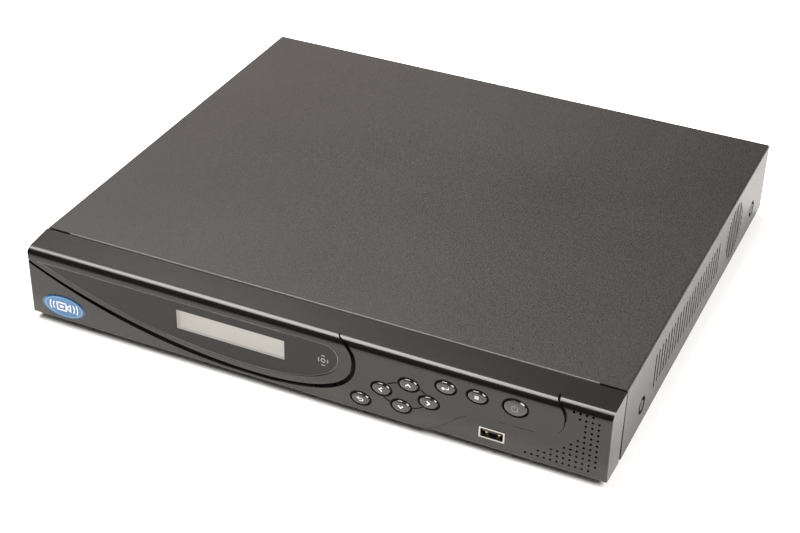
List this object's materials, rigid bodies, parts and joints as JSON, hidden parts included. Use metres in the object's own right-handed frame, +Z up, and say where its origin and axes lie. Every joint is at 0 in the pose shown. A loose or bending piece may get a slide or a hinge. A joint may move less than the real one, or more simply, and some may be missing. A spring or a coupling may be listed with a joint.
{
  "type": "dvr recorder",
  "caption": "Flat surveillance video recorder: folded steel case, moulded front with display window, oval keys, front data port and speaker grille, side fan.",
  "frame": {"origin": "middle of the footprint, in the plane that the feet stand on", "axes": "+X to the right across the front, +Y from the front to the rear, +Z up"},
  "size_m": [0.345, 0.312, 0.0485],
  "materials": {
    "powder_black": "fine-textured charcoal powder coat, satin",
    "zinc_steel": "bright zinc-plated sheet and hardware",
    "satin_black_plastic": "satin moulded plastic, charcoal",
    "overlay_black": "matt printed film",
    "gloss_black_plastic": "glossy moulded caps",
    "black_plastic": "black moulded plastic",
    "white_plastic": "natural white plastic",
    "window_clear": "clear film",
    "display_grey": "pale grey reflective display glass",
    "badge_blue": "domed clear resin over blue",
    "board_green": "solder-masked circuit board",
    "black_rubber": "moulded rubber",
    "brass": "turned brass",
    "nickel": "nickel-plated connector metal",
    "extruded_aluminium": "extruded, plain",
    "cast_aluminium": "die cast",
    "ribbon_grey": "flexible lead insulation",
    "capacitor_blue": "shrink sleeve",
    "terminal_green": "moulded plastic"
  },
  "bodies": {
    "case": {"base_tray": "zinc_steel", "top_cover": "powder_black", "case_screws": "zinc_steel", "feet": "black_rubber", "front_fascia": "satin_black_plastic", "display_surround": "satin_black_plastic", "display_overlay": "overlay_black", "window_lens": "window_clear", "badge": "badge_blue", "display_glass": "display_grey", "display_frame": "zinc_steel", "display_board": "board_green", "key_board": "board_green", "switch_bodies": "black_plastic", "front_port_shell": "nickel", "front_port_tongue": "black_plastic", "infrared_receiver": "black_plastic", "front_cable": "ribbon_grey", "main_board": "board_green", "board_standoffs": "brass", "board_screws": "zinc_steel", "heat_sink": "extruded_aluminium", "board_chips": "black_plastic", "capacitors": "capacitor_blue", "coin_cell": "nickel", "cell_holder": "black_plastic", "coax_shells": "nickel", "coax_cores": "white_plastic", "audio_jacks": "black_plastic", "network_jack": "nickel", "screen_port": "nickel", "digital_port": "nickel", "rear_port_shell": "nickel", "rear_port_tongue": "black_plastic", "power_inlet": "black_plastic", "terminal_block": "terminal_green", "drive_casting": "cast_aluminium", "drive_lid": "zinc_steel", "drive_board": "board_green", "drive_screws": "zinc_steel", "drive_cables": "ribbon_grey", "fan_frame": "black_plastic", "fan_screws": "zinc_steel"},
    "escape_key": {"escape_button": "gloss_black_plastic", "escape_plunger": "white_plastic"},
    "left_key": {"left_button": "gloss_black_plastic", "left_plunger": "white_plastic"},
    "up_key": {"up_button": "gloss_black_plastic", "up_plunger": "white_plastic"},
    "down_key": {"down_button": "gloss_black_plastic", "down_plunger": "white_plastic"},
    "right_key": {"right_button": "gloss_black_plastic", "right_plunger": "white_plastic"},
    "enter_key": {"enter_button": "gloss_black_plastic", "enter_plunger": "white_plastic"},
    "function_key": {"function_button": "gloss_black_plastic", "function_plunger": "white_plastic"},
    "power_key": {"power_button": "gloss_black_plastic", "power_plunger": "white_plastic"},
    "fan": {"fan_rotor": "black_plastic"}
  },
  "joints": [
    {"name": "escape_press", "type": "slide", "parent": "case", "child": "escape_key", "axis": [0, 1, 0], "range_m": [0, 0.0005], "stiffness_N_per_m": 1000, "springref_m": -0.0002},
    {"name": "left_press", "type": "slide", "parent": "case", "child": "left_key", "axis": [0, 1, 0], "range_m": [0, 0.0005], "stiffness_N_per_m": 1000, "springref_m": -0.0002},
    {"name": "up_press", "type": "slide", "parent": "case", "child": "up_key", "axis": [0, 1, 0], "range_m": [0, 0.0005], "stiffness_N_per_m": 1000, "springref_m": -0.0002},
    {"name": "down_press", "type": "slide", "parent": "case", "child": "down_key", "axis": [0, 1, 0], "range_m": [0, 0.0005], "stiffness_N_per_m": 1000, "springref_m": -0.0002},
    {"name": "right_press", "type": "slide", "parent": "case", "child": "right_key", "axis": [0, 1, 0], "range_m": [0, 0.0005], "stiffness_N_per_m": 1000, "springref_m": -0.0002},
    {"name": "enter_press", "type": "slide", "parent": "case", "child": "enter_key", "axis": [0, 1, 0], "range_m": [0, 0.0005], "stiffness_N_per_m": 1000, "springref_m": -0.0002},
    {"name": "function_press", "type": "slide", "parent": "case", "child": "function_key", "axis": [0, 1, 0], "range_m": [0, 0.0005], "stiffness_N_per_m": 1000, "springref_m": -0.0002},
    {"name": "power_press", "type": "slide", "parent": "case", "child": "power_key", "axis": [0, 1, 0], "range_m": [0, 0.0005], "stiffness_N_per_m": 1000, "springref_m": -0.0002},
    {"name": "fan_spin", "type": "hinge", "parent": "case", "child": "fan", "pos_m": [0.164, 0.0745, 0.02625], "axis": [1, 0, 0], "continuous": true}
  ]
}
